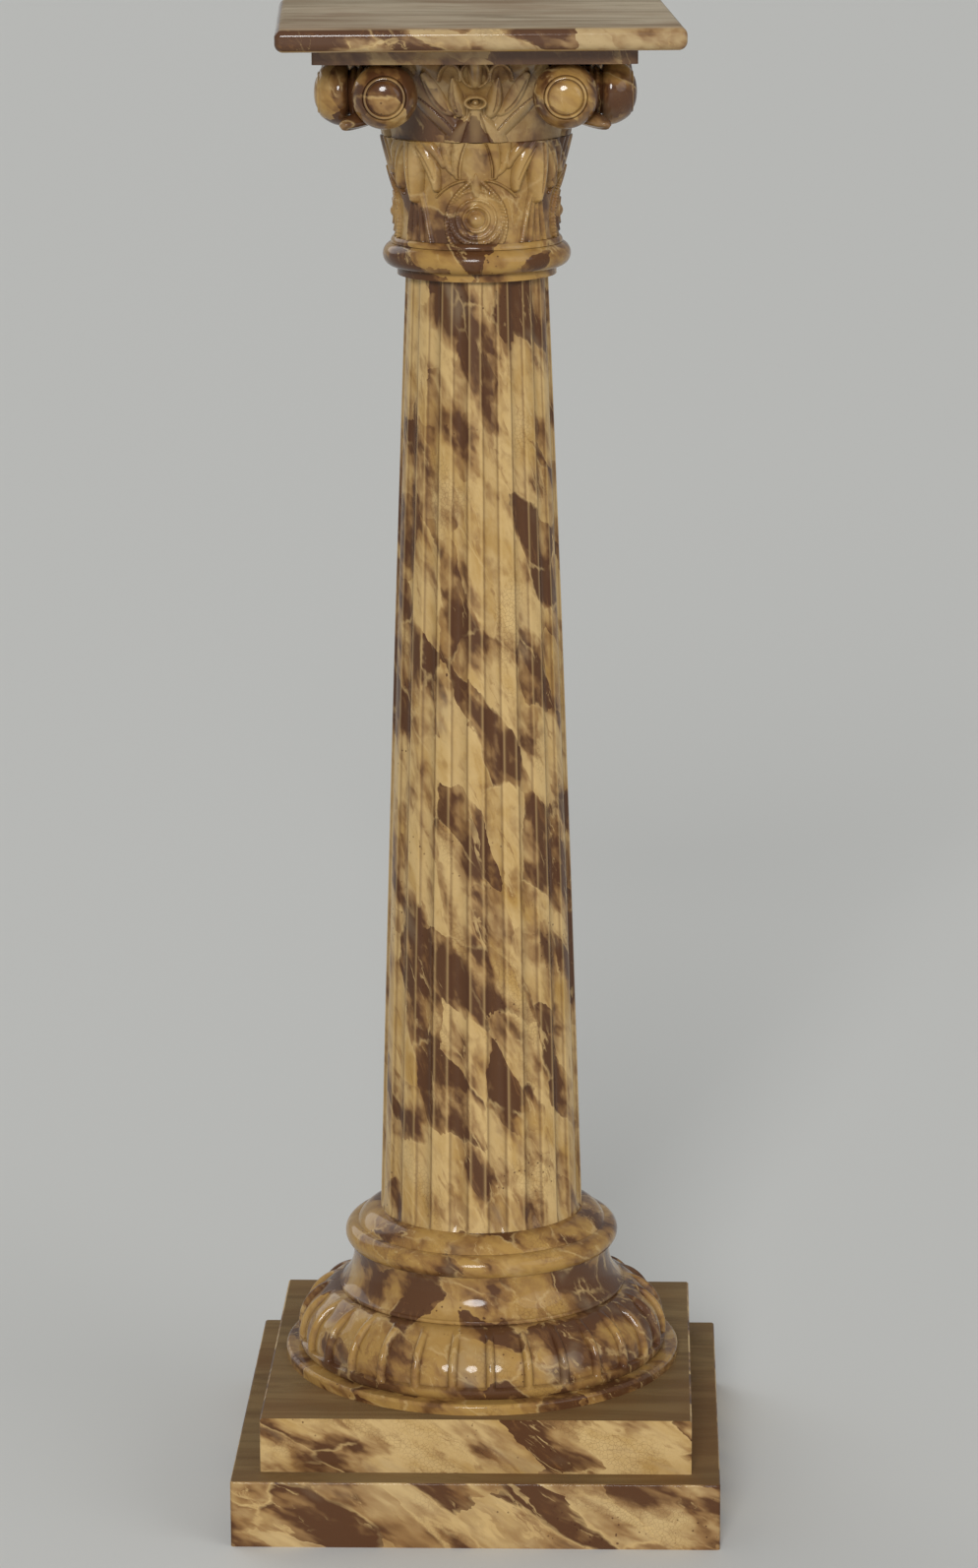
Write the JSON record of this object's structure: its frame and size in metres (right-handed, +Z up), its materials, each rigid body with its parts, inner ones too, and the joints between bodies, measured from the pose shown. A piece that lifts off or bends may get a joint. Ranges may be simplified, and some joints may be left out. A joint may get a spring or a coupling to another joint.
{
  "type": "pedestal column stand",
  "caption": "Free-standing column pedestal: stepped square plinth, gadrooned round base, fluted tapering shaft, carved scroll capital and a square top slab to stand something on.",
  "frame": {"origin": "middle of the underside of the plinth, on the floor", "axes": "+Z up along the column, -Y towards the front face of the plinth, +X to the right seen from the front"},
  "size_m": [0.345, 0.345, 1.0595],
  "materials": {
    "painted_wood": "tortoiseshell marbling in glossy varnish",
    "bare_wood": "planed",
    "steel": "plain"
  },
  "bodies": {
    "root": {"plinth_front_rail": "painted_wood", "plinth_right_rail": "painted_wood", "plinth_back_rail": "painted_wood", "plinth_left_rail": "painted_wood", "plinth_corner_blocks": "bare_wood", "plinth_screws": "steel", "upper_plinth_board": "painted_wood", "base_disc": "painted_wood", "gadrooned_base": "painted_wood", "foot_ring": "painted_wood", "fluted_shaft": "painted_wood", "neck_ring": "painted_wood", "capital_bell": "painted_wood", "bell_leaf_front_right": "painted_wood", "bell_leaf_back_right": "painted_wood", "bell_leaf_back_left": "painted_wood", "bell_leaf_front_left": "painted_wood", "bell_rosette_front": "painted_wood", "bell_tongue_front": "painted_wood", "bell_rosette_right": "painted_wood", "bell_tongue_right": "painted_wood", "bell_rosette_back": "painted_wood", "bell_tongue_back": "painted_wood", "bell_rosette_left": "painted_wood", "bell_tongue_left": "painted_wood", "capital_block": "painted_wood", "volute_front_right": "painted_wood", "volute_back_right": "painted_wood", "volute_back_left": "painted_wood", "volute_front_left": "painted_wood", "palmette_front": "painted_wood", "palmette_right": "painted_wood", "palmette_back": "painted_wood", "palmette_left": "painted_wood", "abacus": "painted_wood", "top_slab": "painted_wood", "slab_dowels": "bare_wood", "tie_rod": "steel", "lower_washer": "steel", "lower_nut": "steel", "upper_washer": "steel", "upper_nut": "steel"}
  },
  "joints": []
}
